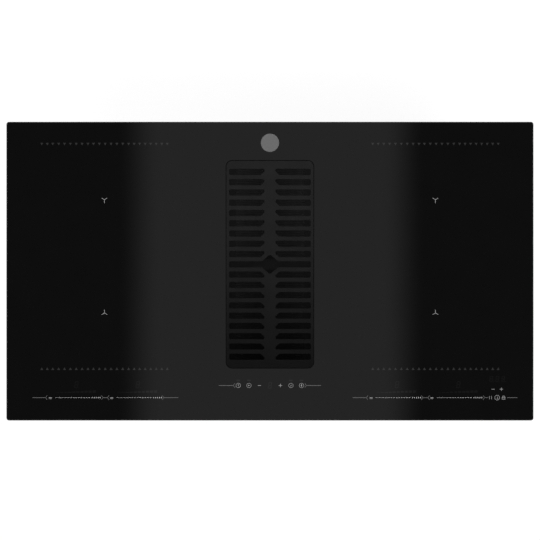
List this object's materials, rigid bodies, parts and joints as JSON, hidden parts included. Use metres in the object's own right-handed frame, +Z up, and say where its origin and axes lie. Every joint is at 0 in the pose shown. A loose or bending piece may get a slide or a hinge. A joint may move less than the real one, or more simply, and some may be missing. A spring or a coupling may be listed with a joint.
{
  "type": "downdraft induction cooktop",
  "caption": "Black glass built-in induction cooktop with a slotted air-inlet grille in the middle, printed touch controls, and an extraction box with blower and duct outlet underneath.",
  "frame": {"origin": "centre of the glass outline, on the plane of the worktop's upper face, which is the underside of the seal", "axes": "+X to the cook's right along the long side, +Y to the back of the worktop, +Z up"},
  "size_m": [0.9, 0.51, 0.216],
  "materials": {
    "black_glass": "polished black ceramic glass",
    "cast_iron_enamel": "matte black enamel",
    "black_plastic": "moulded black plastic",
    "grey_plastic": "moulded grey plastic",
    "white_plastic": "moulded white plastic",
    "black_rubber": "soft black rubber",
    "silicone": "cured silicone bead",
    "galvanised_steel": "galvanised sheet steel",
    "stainless_steel": "satin stainless steel",
    "zinc_screws": "zinc-plated steel",
    "bearing_steel": "ground bearing steel",
    "electrical_steel": "stacked electrical steel",
    "magnet_ferrite": "sintered ferrite",
    "die_cast_aluminium": "die-cast aluminium",
    "sheet_aluminium": "rolled aluminium",
    "coated_mesh": "black-coated expanded mesh",
    "coated_steel": "black powder coat on sheet steel",
    "copper_winding": "enamelled copper wire",
    "litz_wire": "varnished litz wire",
    "mica": "pressed mica",
    "circuit_board": "solder-masked laminate",
    "capacitor_film": "epoxy-filled case",
    "display": "segment display module",
    "sensor_glass": "potted sensor",
    "spring_steel": "spring wire"
  },
  "bodies": {
    "chassis": {"air_well": "black_plastic", "base_pan": "galvanised_steel", "blower_feet": "black_rubber", "board_capacitors": "capacitor_film", "board_standoffs": "white_plastic", "cable_gland": "black_plastic", "case_screws": "zinc_screws", "chokes_and_relays": "black_plastic", "clamp_screws": "zinc_screws", "coil_ferrites": "magnet_ferrite", "coil_formers": "white_plastic", "coil_trays": "sheet_aluminium", "coils_left": "litz_wire", "coils_right": "litz_wire", "cooling_fan_frames": "black_plastic", "display_modules": "display", "duct_spigot": "black_plastic", "flap_pin": "stainless_steel", "glass_bond_bead": "silicone", "glass_top": "black_glass", "heat_sinks": "die_cast_aluminium", "inlet_frame": "black_plastic", "mica_sheets": "mica", "motor_bearings": "bearing_steel", "motor_plate": "die_cast_aluminium", "plenum_base": "black_plastic", "plenum_shell": "black_plastic", "power_boards": "circuit_board", "scroll_lower": "grey_plastic", "scroll_upper": "grey_plastic", "stator_core": "electrical_steel", "stator_windings": "copper_winding", "temperature_sensors": "sensor_glass", "terminal_block": "white_plastic", "terminal_cover": "grey_plastic", "touch_boards": "circuit_board", "touch_carriers": "white_plastic", "touch_electrodes": "spring_steel", "tray_posts": "zinc_screws", "tray_springs": "spring_steel", "worktop_seal": "black_rubber"},
    "grille": {"air_grille": "cast_iron_enamel", "grille_buffers": "black_rubber"},
    "filter": {"filter_frame": "coated_steel", "filter_meshes": "coated_mesh", "filter_handle": "coated_steel"},
    "tray": {"drip_tray": "stainless_steel"},
    "fan": {"fan_impeller": "black_plastic", "motor_rotor": "electrical_steel", "rotor_magnets": "magnet_ferrite", "motor_shaft": "bearing_steel"},
    "cooling_fan_left": {"cooling_fan_left": "black_plastic"},
    "cooling_fan_right": {"cooling_fan_right": "black_plastic"},
    "flap": {"non_return_flap": "black_plastic"},
    "clamp_left_front": {"worktop_clamp_left_front": "galvanised_steel"},
    "clamp_left_rear": {"worktop_clamp_left_rear": "galvanised_steel"},
    "clamp_right_front": {"worktop_clamp_right_front": "galvanised_steel"},
    "clamp_right_rear": {"worktop_clamp_right_rear": "galvanised_steel"}
  },
  "joints": [
    {"name": "tray_lift", "type": "slide", "parent": "chassis", "child": "tray", "axis": [0, 0, 1], "range_m": [0, 0.22]},
    {"name": "filter_lift", "type": "slide", "parent": "tray", "child": "filter", "axis": [0, 0, 1], "range_m": [0, 0.17]},
    {"name": "grille_lift", "type": "slide", "parent": "filter", "child": "grille", "axis": [0, 0, 1], "range_m": [0, 0.06]},
    {"name": "fan_spin", "type": "hinge", "parent": "chassis", "child": "fan", "pos_m": [0.186, -0.062, -0.16], "axis": [0, 0, 1], "continuous": true},
    {"name": "cooling_fan_left_spin", "type": "hinge", "parent": "chassis", "child": "cooling_fan_left", "pos_m": [-0.376, 0.19, -0.0453], "axis": [0, 0, 1], "continuous": true},
    {"name": "cooling_fan_right_spin", "type": "hinge", "parent": "chassis", "child": "cooling_fan_right", "pos_m": [0.376, 0.19, -0.0453], "axis": [0, 0, 1], "continuous": true},
    {"name": "flap_swing", "type": "hinge", "parent": "chassis", "child": "flap", "pos_m": [0.2, 0.168, -0.118], "axis": [1, 0, 0], "range_deg": [0, 65]},
    {"name": "clamp_left_front_slide", "type": "slide", "parent": "chassis", "child": "clamp_left_front", "axis": [0, 0, 1], "range_m": [-0.01, 0.01]},
    {"name": "clamp_left_rear_slide", "type": "slide", "parent": "chassis", "child": "clamp_left_rear", "axis": [0, 0, 1], "range_m": [-0.01, 0.01]},
    {"name": "clamp_right_front_slide", "type": "slide", "parent": "chassis", "child": "clamp_right_front", "axis": [0, 0, 1], "range_m": [-0.01, 0.01]},
    {"name": "clamp_right_rear_slide", "type": "slide", "parent": "chassis", "child": "clamp_right_rear", "axis": [0, 0, 1], "range_m": [-0.01, 0.01]}
  ]
}
